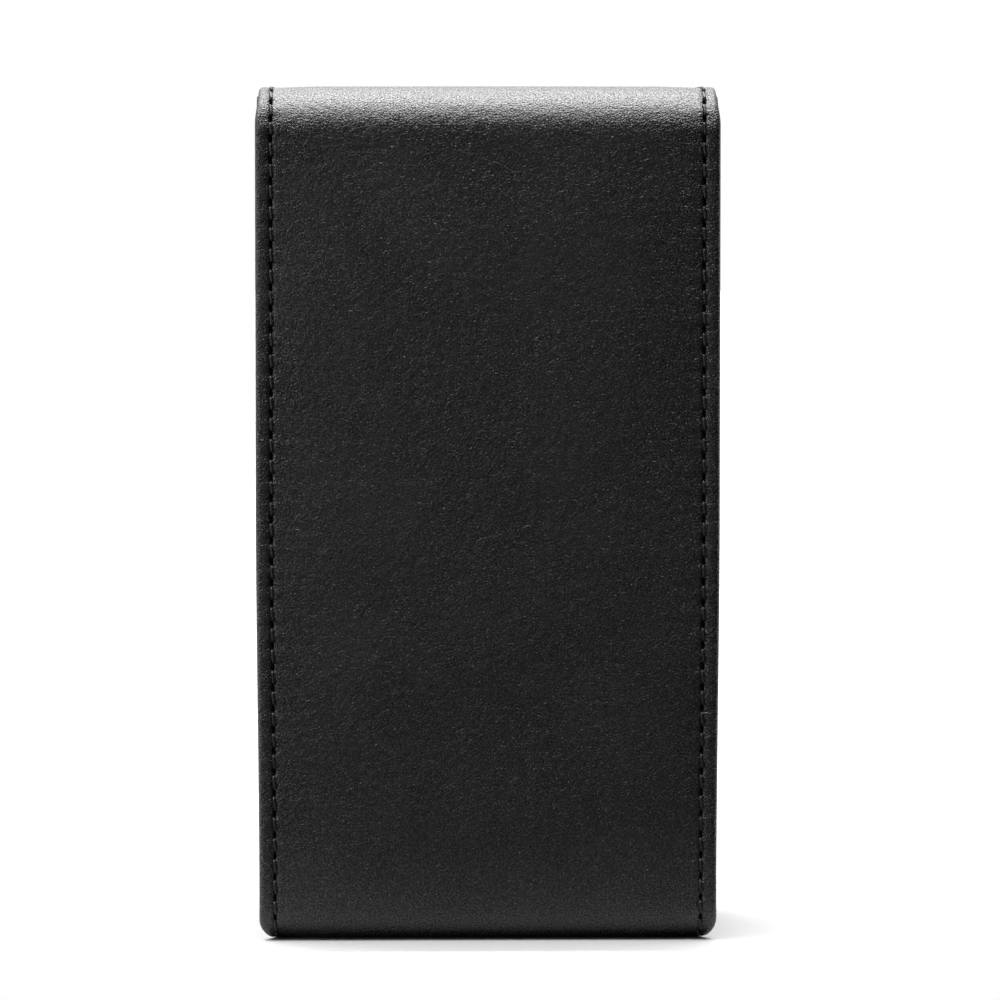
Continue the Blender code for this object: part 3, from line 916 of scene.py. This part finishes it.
def turned(name, y, profile, body, node):
    """A round piece about the snap's axis, from (radius, distance out) points in millimetres."""
    around = 72
    rings = np.array(profile) * MM
    angles = np.linspace(0, 2 * math.pi, around, endpoint=False)
    points = np.stack(
        [
            rings[:, 0:1] * np.cos(angles),
            y + rings[:, 1:2] + 0 * angles,
            SNAP_Z + rings[:, 0:1] * np.sin(angles),
        ],
        axis=-1,
    ).reshape(-1, 3)
    faces = []
    for i in range(len(rings) - 1):
        for j in range(around):
            a, b = i * around + j, i * around + (j + 1) % around
            faces.append((a, a + around, b + around, b))
    made = build(name, points, faces, METAL_LOOK)
    made.data.set_sharp_from_angle(angle=math.radians(50))
    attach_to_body(made, body)
    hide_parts(node)
    return made


def cap_profile():
    """A low dome with a fine raised rim and a shallow ring round its middle."""
    points = [(0.01, 0.86)]
    for r in np.linspace(0.4, 6.0, 29):
        dome = 0.34 + 0.52 * math.sqrt(max(0.0, 1 - (r / 6.35) ** 2))
        ring = -0.07 * math.exp(-(((r - 4.35) / 0.22) ** 2))
        points.append((float(r), dome + ring))
    rim = [(6.12, 0.36), (6.2, 0.26), (6.22, 0.14), (6.15, 0.02), (5.9, -0.05)]
    return points + rim + [(1.5, -0.1), (1.5, -2.2)]


turned("snap_cap_dome", FLAP_Y + 0.25 * MM, cap_profile(), "flap", "snap_cap")
turned(
    "snap_socket_ring",
    FLAP_Y - 3.8 * MM,
    [
        (1.9, 2.0), (5.3, 2.0), (5.5, 1.9), (5.5, 0.25), (5.42, 0.0), (5.2, -0.14), (4.8, -0.2),
        (4.2, -0.16), (3.6, -0.2), (3.2, -0.18), (2.85, -0.08), (2.68, 0.1), (2.6, 0.35), (2.6, 1.3),
        (1.9, 1.35), (0.01, 1.35),
    ],
    "flap",
    "snap_socket",
)
turned(
    "snap_stud_head",
    FRONT_Y + 0.1 * MM,
    [
        (0.01, 2.4), (1.0, 2.4), (1.6, 2.36), (1.95, 2.24), (2.15, 2.05), (2.2, 1.85), (2.1, 1.65),
        (1.93, 1.45), (1.88, 1.2), (1.92, 0.95), (2.1, 0.8), (2.5, 0.72), (3.4, 0.62), (4.3, 0.5),
        (4.75, 0.36), (4.95, 0.18), (5.0, 0.0), (4.8, -0.1),
    ],
    "case",
    "snap_stud",
)

for node, look in (
    ("snap_post", METAL_LOOK),
    ("snap_washer", BOARD_LOOK),
    ("bottom_board", BOARD_LOOK),
    ("lid_board", BOARD_LOOK),
    ("flap_board", BOARD_LOOK),
):
    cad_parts[node].data.materials.clear()
    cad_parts[node].data.materials.append(look)

# ---------------------------------------------------------------- light and camera

ROOM_FRONT = 0.04  # brightness of the room in front of the case, which its back panel faces
ROOM_BACK = 2.2
FLOOR_GREY = 0.27
FLOOR_SIDE, FLOOR_FRONT, FLOOR_BACK = 2.0, 0.036, 4.0
CAMERA_DISTANCE = 0.95
CAMERA_ELEVATION = math.radians(3.3)
CAMERA_YAW = math.radians(1.1)
CAMERA_SPAN = 0.1506  # width of the picture at the case's back panel


def look_at(obj, target):
    direction = Vector(target) - obj.location
    obj.rotation_euler = direction.to_track_quat("-Z", "Y").to_euler()


def add_light(name, kind, energy, location, target=None):
    light = bpy.data.lights.new(name, kind)
    light.energy = energy
    obj = bpy.data.objects.new(name, light)
    bpy.context.scene.collection.objects.link(obj)
    obj.location = location
    if target is not None:
        look_at(obj, target)
    return obj


def set_light():
    """A wide overhead softbox, and a room that is bright behind the case and dim in front of it."""
    softbox = add_light("softbox", "SUN", 14.5, (0, 0, 0.5))
    softbox.data.angle = math.radians(70)
    softbox.rotation_euler = (math.radians(-4), math.radians(-4), 0)

    back_panel = (0, BACK_Y, 0.06)
    strip = add_light("strip_light", "AREA", 0.5, (-0.30, -0.17, 0.12), back_panel)
    strip.data.shape = "RECTANGLE"
    strip.data.size, strip.data.size_y = 0.10, 0.24
    card = add_light("front_card", "AREA", 1.3, (-0.10, -1.25, -0.03), back_panel)
    card.data.size = 0.3

    world = bpy.data.worlds.new("studio")
    bpy.context.scene.world = world
    world.use_nodes = True
    tree = world.node_tree
    new, link = tree.nodes.new, tree.links.new
    background = tree.nodes["Background"]
    direction = new("ShaderNodeTexCoord").outputs["Generated"]
    parts = new("ShaderNodeSeparateXYZ")
    link(direction, parts.inputs[0])

    def band(value, a, b, low, high):
        node = new("ShaderNodeMapRange")
        node.interpolation_type = "SMOOTHSTEP"
        link(value, node.inputs["Value"])
        for key, number in (("From Min", a), ("From Max", b), ("To Min", low), ("To Max", high)):
            node.inputs[key].default_value = number
        return node.outputs[0]

    def maths(operation, a, b):
        node = new("ShaderNodeMath")
        node.operation = operation
        for socket, value in zip(node.inputs, (a, b)):
            if isinstance(value, float):
                socket.default_value = value
            else:
                link(value, socket)
        return node.outputs[0]

    behind = band(parts.outputs["Y"], -0.1, 0.6, ROOM_FRONT, ROOM_BACK)
    side = band(parts.outputs["X"], -1.0, 1.0, 1.25, 0.75)
    raised = band(parts.outputs["Z"], 0.1, 0.45, 0.3, 1.0)
    room = maths("MULTIPLY", maths("MULTIPLY", behind, side), raised)
    seen = new("ShaderNodeLightPath").outputs["Is Camera Ray"]
    strength = maths("MAXIMUM", room, seen)
    link(strength, background.inputs["Strength"])
    background.inputs["Color"].default_value = (1, 1, 1, 1)


def set_floor():
    """A pale table top. The case stands near its front edge, as the room in front of it is dark."""
    mesh = bpy.data.meshes.new("floor")
    side, near, far = FLOOR_SIDE, -FLOOR_FRONT, FLOOR_BACK
    corners = [(-side, near, 0), (side, near, 0), (side, far, 0), (-side, far, 0)]
    mesh.from_pydata(corners, [], [(0, 1, 2, 3)])
    n = Nodes("white_floor")
    n.set(n.shader, "Base Color", (FLOOR_GREY, FLOOR_GREY, FLOOR_GREY, 1))
    n.set(n.shader, "Roughness", 0.8)
    mesh.materials.append(n.material)
    floor = bpy.data.objects.new("floor", mesh)
    bpy.context.scene.collection.objects.link(floor)


def set_camera():
    camera = bpy.data.cameras.new("camera")
    camera.sensor_width = 36
    camera.lens = camera.sensor_width * CAMERA_DISTANCE / CAMERA_SPAN
    camera.clip_start = 0.01
    obj = bpy.data.objects.new("camera", camera)
    bpy.context.scene.collection.objects.link(obj)
    target = Vector((0.0018, BACK_Y, 0.0668))
    level = CAMERA_DISTANCE * math.cos(CAMERA_ELEVATION)
    away = (-math.sin(CAMERA_YAW) * level, -math.cos(CAMERA_YAW) * level)
    obj.location = target + Vector((*away, CAMERA_DISTANCE * math.sin(CAMERA_ELEVATION)))
    look_at(obj, target)
    bpy.context.scene.camera = obj


set_light()
set_floor()
set_camera()
bpy.context.scene.view_settings.view_transform = "Standard"
